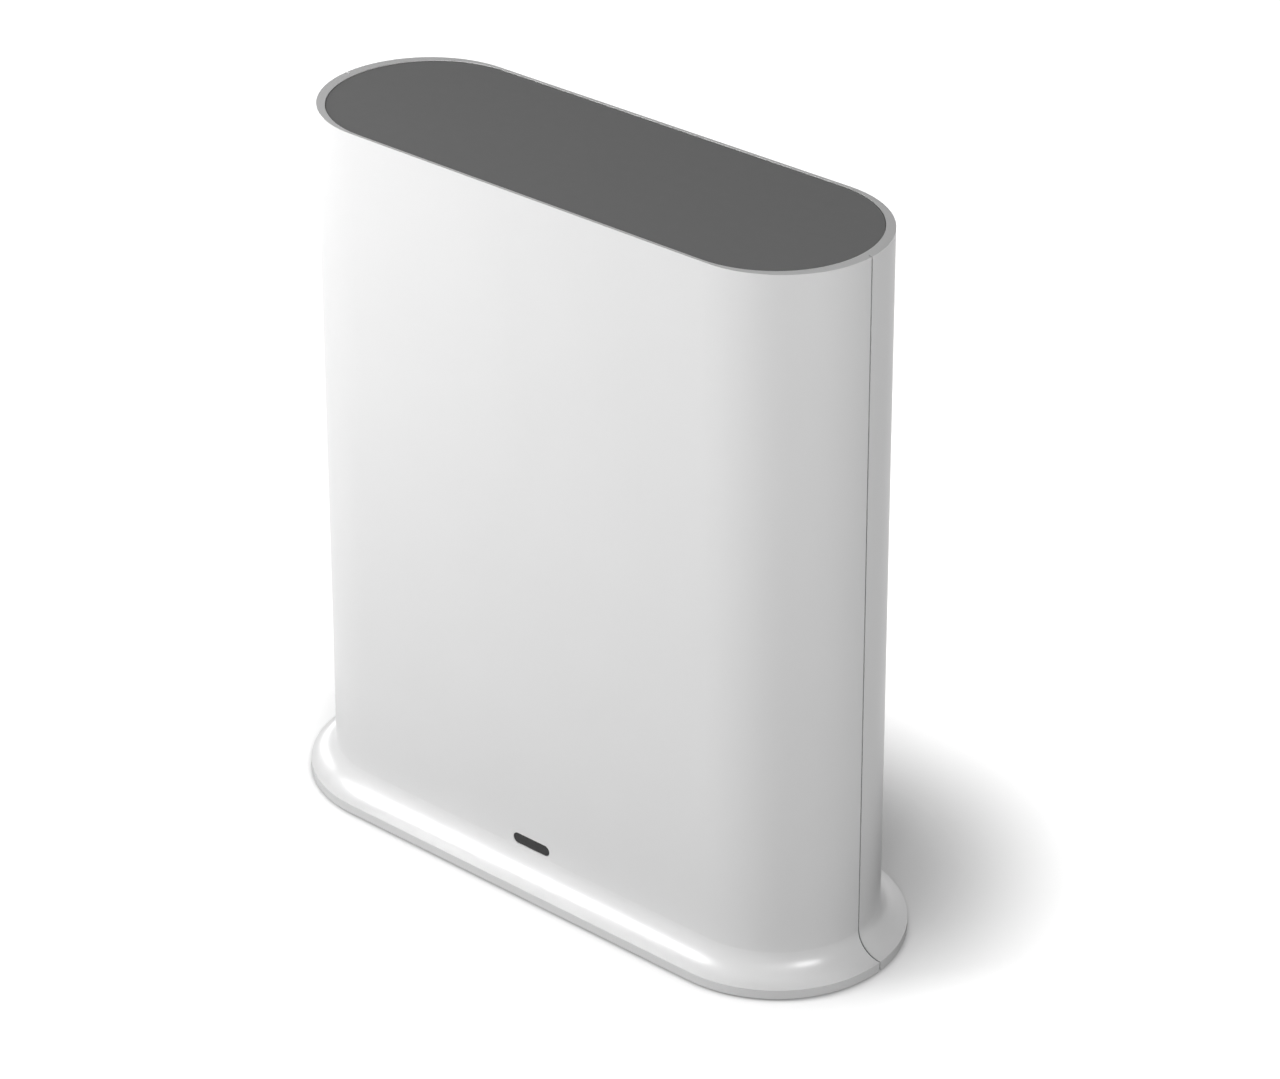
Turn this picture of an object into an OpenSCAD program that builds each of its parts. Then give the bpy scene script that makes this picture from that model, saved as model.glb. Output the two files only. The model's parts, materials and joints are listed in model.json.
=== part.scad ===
// Hub for wireless cameras: two half shells on a flared foot, a dark top panel,
// a status window low on the front, and sockets, a pairing button and a reset pinhole on the rear.
// Millimetres. Origin on the table under the middle of the hub, +Z up, front facing -Y.

/* [Housing] */
// Height from the table to the top rim
hub_height = 130; // [115:1:150]
// Width of the body at the top rim
top_width = 110.2; // [104:0.1:125]
// Depth of the body, the same all the way up
body_depth = 36.1; // [35:0.1:42]
// How far each end leans out between the rim and the table
end_lean = 1.8; // [0.8:0.1:3]
// Thickness of the shell walls
shell_wall = 2; // [1.8:0.1:2.4]
// Width of the shadow line where the two shells meet
seam_gap = 0.3; // [0.2:0.05:0.5]
// Depth of the shadow line
seam_depth = 0.7; // [0.3:0.05:0.8]
// How far the front shell's tongue reaches into the rear shell
tongue_depth = 1.2; // [0.8:0.1:1.6]

/* [Foot] */
// Radius of the concave sweep from the wall to the foot
flare_radius = 4.7; // [3.6:0.1:5.5]
// Height of the upright edge of the foot
foot_rim = 1.7; // [1.3:0.1:2.4]
// Width of the foot's edge left around the base plate
foot_edge = 2.2; // [1.8:0.1:2.8]
// How far the pads hold the foot off the table
floor_gap = 0.4; // [0.3:0.1:0.8]
// Thickness of the base plate's middle
base_plate_t = 3.4; // [3.1:0.1:4]
// Diameter of a rubber pad
pad_d = 11.6; // [10:0.2:12.4]
// Depth of the recess that a pad is glued into
pad_recess = 0.8; // [0.6:0.1:1]
// Number of vent slots through the base plate
vent_count = 9; // [5:2:13]
// Length of a vent slot
vent_length = 20; // [14:1:24]
// Width of a vent slot
vent_width = 1.8; // [1.2:0.1:2.4]
// Spacing of the vent slots
vent_pitch = 4.5; // [4:0.1:5]

/* [Top panel] */
// Width of the light rim at the ends of the panel
panel_end_rim = 1.8; // [1.5:0.1:2.4]
// Width of the light rim along the panel's sides
panel_side_rim = 0.55; // [0.45:0.05:0.9]
// How far the panel lies below the rim
panel_recess = 0.1; // [0.05:0.05:0.5]
// Thickness of the panel
panel_t = 1.8; // [1.4:0.1:2.4]
// Distance of the panel's snap legs from the middle
snap_x = 24; // [18:1:30]
// Width of a snap leg
snap_width = 8; // [6:0.5:10]
// Length of a snap leg down to the ledge that it hooks under
snap_reach = 6; // [5:0.5:8]

/* [Status window] */
// Length of the window
window_length = 8.2; // [6:0.1:11]
// Height of the window
window_height = 2.1; // [1.6:0.1:2.8]
// Height of the window's middle above the table
window_z = 8.15; // [8.1:0.05:11]

/* [Circuit board] */
// Thickness of the board
board_t = 1.6; // [1.2:0.1:2]
// Height of the board's lower edge above the table
board_bottom = 5; // [4.6:0.1:6]
// Room between the board and the end walls
board_end_gap = 5.2; // [5:0.1:6]
// Room between the board's upper edge and the top panel
board_head_room = 23; // [20:1:26]
// Thread diameter of the board and base screws
screw_d = 2.4; // [2:0.1:2.6]
// Head diameter of the screws
screw_head_d = 4.4; // [4:0.1:4.8]
// Height of a screw's head
screw_head_t = 1.3; // [1:0.1:1.4]
// Length of a screw under its head
screw_length = 8; // [6:0.5:9]
// Width of the heat sink's square base
sink_size = 38; // [34:1:42]
// Height of the heat sink's fins
fin_height = 6; // [4:0.5:8]
// Number of fins
fin_count = 9; // [6:1:11]

/* [Sockets] */
// Height of the row of sockets above the table
port_z = 22; // [21:0.5:24]
// Gap between neighbouring sockets
port_gap = 4; // [3:0.5:4.5]
// Depth of the sockets from the board to their faces
port_depth = 15.6; // [15:0.1:16.2]
// Height of the bezel around the sockets
bezel_height = 20; // [18:0.5:22]
// Margin of the bezel beyond the outermost sockets
bezel_margin = 4; // [3:0.5:4.5]
// How far the bezel lies below the rear wall
bezel_recess = 0.8; // [0.4:0.1:1.2]
// Width of the network socket
ethernet_width = 16; // [15.6:0.1:16.6]
// Height of the network socket
ethernet_height = 13.4; // [13:0.1:14]
// Width of the USB socket
usb_width = 13.1; // [12.9:0.1:13.5]
// Height of the USB socket
usb_height = 5.7; // [5.6:0.1:6]
// Width of the power socket
power_width = 9; // [8.6:0.1:10]
// Height of the power socket
power_height = 11; // [10:0.1:12]
// Bore of the power socket
power_bore_d = 6.3; // [6:0.1:6.4]
// Diameter of the power socket's pin
power_pin_d = 2; // [1.8:0.1:2.5]
// Diameter of the reset pinhole
reset_hole_d = 1.6; // [1.2:0.1:2]

/* [Pairing button] */
// Diameter of the button's cap
button_d = 8.7; // [7:0.1:10]
// Height of the button above the table
button_z = 52; // [50:1:60]
// How far the button travels
button_travel = 0.5; // [0.3:0.05:0.8]
// How far the reset switch travels
reset_travel = 0.25; // [0.2:0.05:0.4]

/* [Antennas] */
// Length of an antenna strip
antenna_length = 40; // [34:1:44]
// Width of an antenna strip
antenna_width = 9; // [7:0.5:9.5]
// Thickness of an antenna strip
antenna_t = 0.8; // [0.6:0.1:1]
// Height of the end antennas' lower edge
antenna_z = 44; // [42:1:50]
// Diameter of the coax leads
lead_d = 1.1; // [0.8:0.1:1.3]

/* [Hidden] */
$fn = 96;

// Clearances
seat_gap = 0.05;
slip_gap = 0.1;
running_gap = 0.15;
embed = 0.6;
cut_extra = 1;
beyond = 50;

// Body: upright front and rear walls between round ends whose axes lean out towards the table
outer_r = body_depth / 2;
inner_r = outer_r - shell_wall;
top_spine = top_width / 2 - outer_r;
lean_angle = atan(end_lean / hub_height);
function spine(z) = top_spine + end_lean * (hub_height - z) / hub_height;
rim_top_z = floor_gap + foot_rim;
flare_z = rim_top_z + flare_radius;
flare_sink = 0.01;
foot_radius = outer_r + flare_radius - flare_sink;
foot_spine = spine(flare_z);

// Base plate
base_pocket_radius = foot_radius - foot_edge;
base_top_z = floor_gap + base_plate_t;
base_plug_radius = inner_r - running_gap;
screw_tip_room = 1;
base_boss_wall = 2.1;
base_boss_sink = 0.3;
base_boss_r = screw_d / 2 + base_boss_wall;
base_boss_top = base_top_z + screw_length + screw_tip_room;
base_boss_u = inner_r - base_boss_r + base_boss_sink;
base_boss_shift = 3;
base_boss_x = foot_spine + base_boss_shift;
base_boss_y = sqrt(base_boss_u * base_boss_u - base_boss_shift * base_boss_shift);
base_head_z = floor_gap + pad_recess + screw_head_t + slip_gap;

// Top panel
panel_top_z = hub_height - panel_recess;
panel_floor_z = panel_top_z - panel_t;
panel_pocket_r = outer_r - panel_side_rim;
panel_spine = top_width / 2 - panel_end_rim - panel_pocket_r;
snap_ledge = 1;
snap_ledge_t = 1.5;
snap_ledge_margin = 1;
snap_ledge_z = panel_floor_z - snap_reach;
snap_leg_t = 1.4;
snap_barb = 0.7;
snap_barb_t = 2;

// Rear sockets, from left to right seen from the front
reset_width = 3;
row_length = power_width + ethernet_width + usb_width + reset_width + 3 * port_gap;
power_x = -row_length / 2 + power_width / 2;
ethernet_x = power_x + power_width / 2 + port_gap + ethernet_width / 2;
usb_x = ethernet_x + ethernet_width / 2 + port_gap + usb_width / 2;
reset_x = usb_x + usb_width / 2 + port_gap + reset_width / 2;
bezel_width = row_length + 2 * bezel_margin;
bezel_corner = 2.5;
bezel_flange = 1.5;
bezel_flange_t = 1.2;
bezel_face_y = outer_r - bezel_recess;
bezel_flange_y = inner_r - seat_gap;
port_recess = 0.3;
port_face_y = bezel_face_y - port_recess;

// Board, held off the rear wall by the depth of the sockets
board_rear_y = port_face_y - port_depth;
board_front_y = board_rear_y - board_t;
board_top = panel_floor_z - board_head_room;
board_half_width = spine(board_top) + inner_r - board_end_gap;
board_corner = 3;
board_screw_inset = 0.5;
board_screw_rise = 12.5;
board_screw_drop = 6;
board_boss_wall = 1.8;
screw_hole_room = 0.3;
board_screw_x = top_spine - board_screw_inset;
board_screw_low = board_bottom + board_screw_rise;
board_screw_high = board_top - board_screw_drop;
board_boss_r = screw_d / 2 + board_boss_wall;
screw_hole_r = screw_d / 2 + screw_hole_room;
boss_bore_r = screw_d / 2 + seat_gap;
boss_bore_depth = screw_length - board_t + screw_tip_room;

// Parts on the front of the board
chip_size = 17;
chip_t = 1.3;
thermal_pad_size = 15;
thermal_pad_t = 0.8;
sink_base_t = 2.4;
fin_t = 1.2;
sink_seat = chip_t + thermal_pad_t;
sink_pin_r = 1.3;
sink_pin_head_r = 2.6;
sink_pin_head_t = 1.2;
sink_pin_head_room = 0.5;
sink_pin_inset = 4;
sink_pin_barb = 0.6;
sink_pin_barb_t = 1;
memory_size = [14, 9, 1.1];
memory_gap = 3;
flash_size = [12, 18, 1];
side_gap = 4;
shield_size = [24, 20, 3];
shield_wall = 0.4;
shield_x = 20;
shield_drop = 15;
shield_z = board_top - shield_drop;
sink_gap = 3;
sink_z = shield_z - shield_size[1] / 2 - sink_gap - sink_size / 2;
radio_chip_size = [8, 8, 1];
led_size = [3.2, 1.6, 0.5];
led_dome = [2.2, 1.3, 0.4];
pipe_height = 1.6;
pipe_led_width = 3.8;
inductor_size = 9;
inductor_t = 4.5;
inductor_corner = 1.5;
inductor_z = board_bottom + inductor_size;
passive_size = [1.6, 0.9, 0.7];
passive_pitch = 3;
passive_start = 6;
passive_count = 9;

// Window
window_y = outer_r - seat_gap;
window_flange = 1;
window_flange_t = 1;
window_flange_y = inner_r - seat_gap;

// Network socket
ethernet_sheet = 0.4;
ethernet_lip = 0.4;
ethernet_cavity = [11.9, 6.9];
ethernet_cavity_depth = 12;
ethernet_cavity_y = 1;
latch_slot = [6.2, 1.9];
latch_stop = [3.4, 1.4];
contact_count = 8;
contact_pitch = 1.02;
contact_width = 0.5;
contact_t = 0.4;
contact_drop = 1.6;
contact_bend = 2.2;
contact_fold = 1.6;
contact_back = 1;
contact_front = 2.5;
transformer_size = [16, 9, 6];
transformer_z = 42;

// USB socket
usb_sheet = 0.3;
usb_corner = 0.5;
usb_block_depth = 5;
usb_block_room = 0.4;
usb_tongue_t = 1.9;
usb_tongue_y = 0.75;
usb_tongue_inset = 0.7;
usb_tongue_back = 1.2;
usb_contact = [1, 0.15, 7.5];
usb_contact_pitch = 2.3;
usb_contact_count = 4;

// Power socket
power_corner = 1;
power_cavity_depth = 10.5;
power_pin_length = 9;
power_pin_root = 0.4;
power_pin_root_r = power_pin_d / 2 + power_pin_root;
power_pin_root_length = 3;
power_pin_tip = 0.5;
power_spring = [1.8, 0.3];
power_spring_room = 2;
power_slot = [2.2, 1];
power_slot_lip = 1.5;
capacitor_d = 8;
capacitor_h = 10.5;
capacitor_count = 2;
capacitor_gap = 2;
capacitor_z = 42;
capacitor_groove_r = 0.6;
capacitor_groove_out = 0.2;
capacitor_groove_drop = 2.1;

// Switches
switch_size = 6;
switch_body_t = 3.4;
switch_plunger_r = 1.7;
switch_plunger_top = 5;
switch_well = 1.4;
button_flange = 1.3;
button_flange_t = 1.2;
button_stem_r = 1.6;
button_flange_r = button_d / 2 + button_flange;
button_sink = 0.2;
button_face_y = outer_r - button_sink;
button_flange_y = inner_r - slip_gap;
button_dish_r = 32;
button_dish = 0.3;
button_guide_t = 1.2;
button_guide_depth = 4;
reset_body = 4.6;
reset_plunger_r = 1;
reset_plunger_top = 6.5;
reset_tube_wall = 1;
reset_tube_r = reset_hole_d / 2 + reset_tube_wall;
reset_tube_end = 8;

// Antennas
antenna_end_room = 2.4;
antenna_x = board_half_width + antenna_end_room;
antenna_clip_wall = 1.2;
antenna_clip_t = 3;
antenna_clip_inset = 6;
antenna_clip_room = 0.6;
antenna_clip_y = tongue_depth + antenna_clip_room;
antenna_clip_depth = antenna_width / 2 + antenna_clip_wall - antenna_clip_y;
antenna_drop = 8;
antenna_top_z = panel_floor_z - antenna_drop;
antenna_post_x = 14;
antenna_post_t = 3;
antenna_post_wall = 1.2;
plug_r = 1.5;
plug_t = 1.3;
barrel_r = 0.75;
barrel_length = 2.4;
lead_height = 0.9;
lead_y = board_front_y - lead_height;
lead_sides = 8;
lead_rings = 18;
end_plug_inset = 4.5;
end_plug_drop = 10;
top_plug_drop = 4;
end_plug_x = board_half_width - end_plug_inset;
end_plug_z = antenna_z - end_plug_drop;
top_plug_z = board_top - top_plug_drop;
lead_bend = 3;
lead_tie = 4;

// Colours
white_plastic = [0.93, 0.93, 0.92];
grey_plastic = [0.36, 0.36, 0.37];
dark_plastic = [0.14, 0.14, 0.15];
rubber_black = [0.1, 0.1, 0.1];
board_green = [0.1, 0.32, 0.2];
sheet_metal = [0.75, 0.76, 0.77];
gold = [0.83, 0.67, 0.32];
chip_black = [0.08, 0.08, 0.09];
clear_plastic = [0.85, 0.9, 0.92];
pale_pad = [0.6, 0.66, 0.72];
copper = [0.72, 0.45, 0.28];
pale_plastic = [0.9, 0.9, 0.88];
led_white = [0.95, 0.95, 0.9];
sink_grey = [0.6, 0.61, 0.63];
ferrite_grey = [0.3, 0.3, 0.32];
can_blue = [0.2, 0.22, 0.3];
ceramic_tan = [0.7, 0.6, 0.45];

// Plane shapes
module stadium(spine, radius) {
  square([2 * spine, 2 * radius], center = true);
  for (side = [-1, 1])
    translate([side * spine, 0])
      circle(radius);
}

module pill(length, height) {
  stadium((length - height) / 2, height / 2);
}

module round_rect(width, height, corner) {
  square([width - 2 * corner, height], center = true);
  square([width, height - 2 * corner], center = true);
  for (x = [-1, 1], y = [-1, 1])
    translate([x * (width / 2 - corner), y * (height / 2 - corner)])
      circle(corner);
}

// The same outline, moved out by a margin all round
module grown_rect(width, height, corner, margin) {
  round_rect(width + 2 * margin, height + 2 * margin, corner + margin);
}

module block(size) {
  translate([-size[0] / 2, -size[1] / 2, 0])
    cube(size);
}

// Places on the board and walls: local Z points away from the board, local Y points up
module on_front(x, z) {
  translate([x, board_front_y, z])
    rotate([90, 0, 0])
      children();
}

module on_rear(x, z) {
  translate([x, board_rear_y, z])
    rotate([90, 0, 180])
      children();
}

module from_rear_wall(x, z, y) {
  translate([x, y, z])
    rotate([90, 0, 180])
      children();
}

module from_front_wall(x, z, y) {
  translate([x, -y, z])
    rotate([90, 0, 0])
      children();
}

// Box that reaches past the ends of the hub, between two depths and two heights
module across(y_low, y_high, z_low, z_high) {
  reach = top_width;
  translate([-reach, y_low, z_low])
    cube([2 * reach, y_high - y_low, z_high - z_low]);
}

// Plan swept along the leaning axis of a round end
module along_end(side) {
  mirror([side < 0 ? 1 : 0, 0, 0])
    translate([spine(0), 0, 0])
      rotate([0, -lean_angle, 0])
        translate([0, 0, -beyond])
          linear_extrude(hub_height + 2 * beyond)
            children();
}

// Front quarter of a round end, with a straight run that reaches past the middle of the hub
module quarter_plan() {
  run = spine(0) + outer_r;
  intersection() {
    difference() {
      circle(outer_r);
      circle(inner_r);
    }
    translate([0, -2 * outer_r])
      square(2 * outer_r);
  }
  translate([-run, -outer_r])
    square([run, shell_wall]);
}

// Front wall and the front halves of the round ends, without the foot
module front_wall() {
  intersection() {
    union() {
      for (side = [-1, 1])
        along_end(side)
          quarter_plan();
    }
    across(-beyond, beyond, floor_gap, hub_height);
  }
}

// Upright edge and concave sweep of the foot, as radius and height
module foot_profile() {
  inside = outer_r - shell_wall / 2;
  difference() {
    translate([inside, floor_gap])
      square([foot_radius - inside, flare_z - floor_gap]);
    translate([foot_radius, flare_z])
      circle(flare_radius);
  }
}

// Front half of the foot, swept round the spine
module front_foot() {
  for (side = [-1, 1])
    translate([side * foot_spine, 0, 0])
      rotate([0, 0, side > 0 ? -90 : 180])
        rotate_extrude(angle = 90)
          foot_profile();
  translate([-foot_spine, 0, 0])
    rotate([90, 0, 90])
      linear_extrude(2 * foot_spine)
        mirror([1, 0])
          foot_profile();
}

// Shadow line cut into both ends and over the foot, where the shells meet
module seam_groove() {
  for (side = [-1, 1])
    intersection() {
      along_end(side)
        translate([outer_r - seam_depth, -seam_gap / 2])
          square([outer_r, seam_gap]);
      across(-beyond, beyond, flare_z, hub_height + beyond);
    }
  for (side = [0, 1])
    mirror([side, 0, 0])
      translate([foot_spine, 0, 0])
        rotate([90, 0, 0])
          linear_extrude(seam_gap, center = true)
            difference() {
              translate([inner_r, 0])
                square([foot_radius, flare_z]);
              foot_core();
            }
}

// Section of the foot under the shadow line
module foot_core() {
  difference() {
    square([foot_radius - seam_depth, flare_z + cut_extra]);
    translate([foot_radius, flare_z])
      circle(flare_radius + seam_depth);
  }
}

// Half shell with its seam edge, top pocket and base pocket, on the front side
module half_shell() {
  difference() {
    union() {
      front_wall();
      front_foot();
    }
    across(0, beyond, -beyond, hub_height + beyond);
    seam_groove();
    translate([0, 0, panel_floor_z])
      linear_extrude(beyond)
        stadium(panel_spine, panel_pocket_r);
    translate([0, 0, floor_gap - beyond])
      linear_extrude(beyond + foot_rim)
        stadium(foot_spine, base_pocket_radius);
  }
}

// Band inside both end walls near the seam, between two distances from their inner face
module end_bands(inner, outer) {
  for (side = [-1, 1])
    along_end(side)
      intersection() {
        difference() {
          circle(inner_r + outer);
          circle(inner_r + inner);
        }
        translate([0, -inner_r / 2])
          square([2 * outer_r, inner_r]);
      }
}

// Ledges for the top panel's snap legs and bosses for the base screws, on the front side
module front_fittings() {
  ledge_width = snap_width + 2 * snap_ledge_margin;
  for (side = [-1, 1]) {
    translate([side * snap_x - ledge_width / 2, -inner_r - embed, snap_ledge_z])
      cube([ledge_width, snap_ledge + embed, snap_ledge_t]);
    translate([side * base_boss_x, -base_boss_y, base_top_z])
      cylinder(r = base_boss_r, h = base_boss_top - base_top_z);
  }
}

module base_boss_bores() {
  for (side = [-1, 1])
    translate([side * base_boss_x, -base_boss_y, base_top_z - beyond])
      cylinder(r = boss_bore_r, h = beyond + screw_length);
}

module front_shell() {
  tongue_low = rim_top_z + base_plate_t / 2;
  tongue_high = panel_floor_z - shell_wall / 2;
  color(white_plastic)
    difference() {
      union() {
        half_shell();
        front_fittings();
        intersection() {
          end_bands(slip_gap, shell_wall / 2 - slip_gap);
          across(-shell_wall, tongue_depth, tongue_low, tongue_high);
        }
      }
      base_boss_bores();
      from_front_wall(0, window_z, inner_r - shell_wall)
        linear_extrude(3 * shell_wall)
          pill(window_length, window_height);
    }
}

module rear_shell() {
  boss_length = inner_r + embed - board_rear_y;
  guide_r = button_flange_r + slip_gap + running_gap;
  clip_x = spine(antenna_z) + inner_r;
  clip_inner = antenna_x - antenna_t / 2 - antenna_clip_wall;
  color(white_plastic)
    difference() {
      union() {
        difference() {
          mirror([0, 1, 0]) {
            half_shell();
            front_fittings();
          }
          intersection() {
            end_bands(-shell_wall, shell_wall / 2);
            across(-shell_wall, tongue_depth + running_gap, rim_top_z, panel_floor_z);
          }
        }
        for (x = [-1, 1], z = [board_screw_low, board_screw_high])
          on_rear(x * board_screw_x, z)
            cylinder(r = board_boss_r, h = boss_length);
        from_rear_wall(0, button_z, inner_r - button_guide_depth)
          difference() {
            cylinder(r = guide_r + button_guide_t, h = button_guide_depth + embed);
            translate([0, 0, -cut_extra])
              cylinder(r = guide_r, h = button_guide_depth + cut_extra);
          }
        for (side = [0, 1], rise = [antenna_clip_inset, antenna_length - antenna_clip_inset - antenna_clip_t])
          mirror([side, 0, 0])
            translate([clip_inner, antenna_clip_y, antenna_z + rise])
              cube([clip_x - clip_inner + embed / 2, antenna_clip_depth, antenna_clip_t]);
      }
      mirror([0, 1, 0])
        base_boss_bores();
      for (x = [-1, 1], z = [board_screw_low, board_screw_high])
        on_rear(x * board_screw_x, z)
          translate([0, 0, -cut_extra])
            cylinder(r = boss_bore_r, h = boss_bore_depth + cut_extra);
      from_rear_wall(0, port_z, inner_r - shell_wall)
        linear_extrude(3 * shell_wall)
          grown_rect(bezel_width, bezel_height, bezel_corner, slip_gap);
      from_rear_wall(0, button_z, inner_r - shell_wall / 4)
        cylinder(r = button_d / 2 + running_gap, h = 3 * shell_wall);
      for (side = [0, 1])
        mirror([side, 0, 0])
          translate([antenna_x - antenna_t / 2 - seat_gap, 0, antenna_z])
            cube([antenna_t + 2 * seat_gap, antenna_width / 2 + seat_gap, antenna_length]);
    }
}

module top_panel() {
  leg_u = inner_r - snap_ledge - running_gap;
  leg_low = snap_ledge_z - snap_barb_t;
  color(grey_plastic) {
    translate([0, 0, panel_floor_z])
      linear_extrude(panel_t)
        stadium(panel_spine, panel_pocket_r - slip_gap);
    for (x = [-1, 1], y = [-1, 1])
      translate([x * snap_x - snap_width / 2, 0, 0])
        rotate([90, 0, 90])
          linear_extrude(snap_width)
            mirror([y < 0 ? 1 : 0, 0])
              polygon([
                [leg_u - snap_leg_t, panel_floor_z + panel_t / 2],
                [leg_u - snap_leg_t, leg_low],
                [leg_u, leg_low],
                [leg_u + snap_barb, snap_ledge_z - slip_gap - snap_barb],
                [leg_u + snap_barb, snap_ledge_z - slip_gap],
                [leg_u, snap_ledge_z - slip_gap],
                [leg_u, panel_floor_z + panel_t / 2]
              ]);
    for (side = [-1, 1])
      translate([side * antenna_post_x, 0, 0])
        difference() {
          post_low = antenna_top_z - antenna_t / 2 - antenna_post_wall;
          post_width = antenna_width + 2 * antenna_post_wall;
          translate([0, 0, post_low])
            block([antenna_post_t, post_width, panel_floor_z + panel_t / 2 - post_low]);
          translate([0, 0, antenna_top_z - antenna_t / 2 - seat_gap])
            block([antenna_post_t + 2 * cut_extra, antenna_width + 2 * seat_gap, antenna_t + 2 * seat_gap]);
        }
  }
}

module at_base_bosses() {
  for (x = [-1, 1], y = [-1, 1])
    translate([x * base_boss_x, y * base_boss_y, 0])
      children();
}

module base_plate() {
  color(white_plastic)
    difference() {
      union() {
        translate([0, 0, floor_gap])
          linear_extrude(foot_rim - seat_gap)
            stadium(foot_spine, base_pocket_radius - running_gap);
        translate([0, 0, floor_gap])
          linear_extrude(base_plate_t)
            stadium(foot_spine, base_plug_radius);
      }
      at_base_bosses() {
        translate([0, 0, floor_gap - cut_extra])
          cylinder(d = pad_d + 2 * slip_gap, h = pad_recess + cut_extra);
        translate([0, 0, floor_gap])
          cylinder(d = screw_head_d + 2 * slip_gap, h = base_head_z - floor_gap);
        cylinder(r = screw_hole_r, h = beyond);
      }
      for (i = [0 : vent_count - 1])
        translate([(i - (vent_count - 1) / 2) * vent_pitch, 0, 0])
          rotate([0, 0, 90])
            linear_extrude(beyond)
              pill(vent_length, vent_width);
    }
}

module foot_pads() {
  edge = 0.4;
  top = floor_gap + pad_recess - seat_gap;
  color(rubber_black)
    at_base_bosses()
      rotate_extrude()
        polygon([[0, 0], [pad_d / 2 - edge, 0], [pad_d / 2, edge], [pad_d / 2, top], [0, top]]);
}

module screw(length) {
  cylinder(d = screw_d, h = length);
  translate([0, 0, -screw_head_t])
    cylinder(d = screw_head_d, h = screw_head_t);
}

module base_screws() {
  color(sheet_metal)
    at_base_bosses()
      translate([0, 0, base_head_z])
        screw(base_top_z + screw_length - screw_tip_room - base_head_z);
}

module board_screws() {
  color(sheet_metal)
    for (x = [-1, 1], z = [board_screw_low, board_screw_high])
      translate([x * board_screw_x, board_front_y, z])
        rotate([-90, 0, 0])
          screw(screw_length);
}

module indicator_lens() {
  color(dark_plastic)
    from_front_wall(0, window_z, window_flange_y - window_flange_t) {
      linear_extrude(window_flange_t)
        pill(window_length + 2 * window_flange, window_height + 2 * window_flange);
      linear_extrude(window_y - window_flange_y + window_flange_t)
        pill(window_length - 2 * slip_gap, window_height - 2 * slip_gap);
    }
}

module light_pipe() {
  back_y = board_front_y - led_size[2] - led_dome[2] - slip_gap;
  front_y = -(window_flange_y - window_flange_t - seat_gap);
  wide = window_length - window_height;
  color(clear_plastic)
    translate([0, 0, window_z - pipe_height / 2])
      linear_extrude(pipe_height)
        polygon([
          [-pipe_led_width / 2, back_y],
          [-wide / 2, (back_y + front_y) / 2],
          [-wide / 2, front_y],
          [wide / 2, front_y],
          [wide / 2, (back_y + front_y) / 2],
          [pipe_led_width / 2, back_y]
        ]);
}

module status_led() {
  color(led_white)
    on_front(0, window_z) {
      block(led_size);
      translate([0, 0, led_size[2]])
        block(led_dome);
    }
}

module sink_pin_places() {
  reach = sink_size / 2 - sink_pin_inset;
  for (side = [-1, 1])
    translate([side * reach, -side * reach, 0])
      children();
}

module main_board() {
  height = board_top - board_bottom;
  color(board_green)
    difference() {
      on_front(0, board_bottom + height / 2)
        translate([0, 0, -board_t])
          linear_extrude(board_t)
            round_rect(2 * board_half_width, height, board_corner);
      for (x = [-1, 1], z = [board_screw_low, board_screw_high])
        on_front(x * board_screw_x, z)
          translate([0, 0, -board_t - cut_extra])
            cylinder(r = screw_hole_r, h = board_t + 2 * cut_extra);
      on_front(0, sink_z)
        sink_pin_places()
          translate([0, 0, -board_t - cut_extra])
            cylinder(r = sink_pin_r + slip_gap, h = board_t + 2 * cut_extra);
    }
}

module port_bezel() {
  back_y = bezel_flange_y - bezel_flange_t;
  color(grey_plastic)
    difference() {
      from_rear_wall(0, port_z, back_y) {
        linear_extrude(bezel_flange_t)
          grown_rect(bezel_width, bezel_height, bezel_corner, bezel_flange);
        linear_extrude(bezel_face_y - back_y)
          round_rect(bezel_width, bezel_height, bezel_corner);
        translate([-reset_x, 0, reset_tube_end + board_rear_y - back_y])
          cylinder(r = reset_tube_r, h = back_y + bezel_flange_t / 2 - reset_tube_end - board_rear_y);
      }
      on_rear(ethernet_x, port_z)
        linear_extrude(beyond)
          square([ethernet_width + 2 * running_gap, ethernet_height + 2 * running_gap], center = true);
      on_rear(usb_x, port_z)
        linear_extrude(beyond)
          grown_rect(usb_width, usb_height, usb_corner, running_gap);
      on_rear(power_x, port_z)
        linear_extrude(beyond)
          grown_rect(power_width, power_height, power_corner, running_gap);
      on_rear(reset_x, port_z)
        cylinder(d = reset_hole_d, h = beyond);
    }
}

module ethernet_shield() {
  color(sheet_metal)
    on_rear(ethernet_x, port_z)
      linear_extrude(port_depth)
        difference() {
          square([ethernet_width, ethernet_height], center = true);
          square([ethernet_width - 2 * ethernet_sheet, ethernet_height - 2 * ethernet_sheet], center = true);
        }
}

module ethernet_insert() {
  inset = 2 * (ethernet_sheet + seat_gap);
  height = port_depth - ethernet_lip;
  cavity_low = ethernet_cavity_y - ethernet_cavity[1] / 2;
  color(dark_plastic)
    on_rear(ethernet_x, port_z)
      difference() {
        linear_extrude(height)
          square([ethernet_width - inset, ethernet_height - inset], center = true);
        translate([0, 0, height - ethernet_cavity_depth])
          linear_extrude(beyond) {
            translate([0, ethernet_cavity_y])
              square(ethernet_cavity, center = true);
            translate([0, cavity_low - latch_slot[1] / 2])
              square([latch_slot[0], latch_slot[1] + embed], center = true);
            translate([0, cavity_low - latch_slot[1] - latch_stop[1] / 2])
              square([latch_stop[0], latch_stop[1] + embed], center = true);
          }
      }
}

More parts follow.
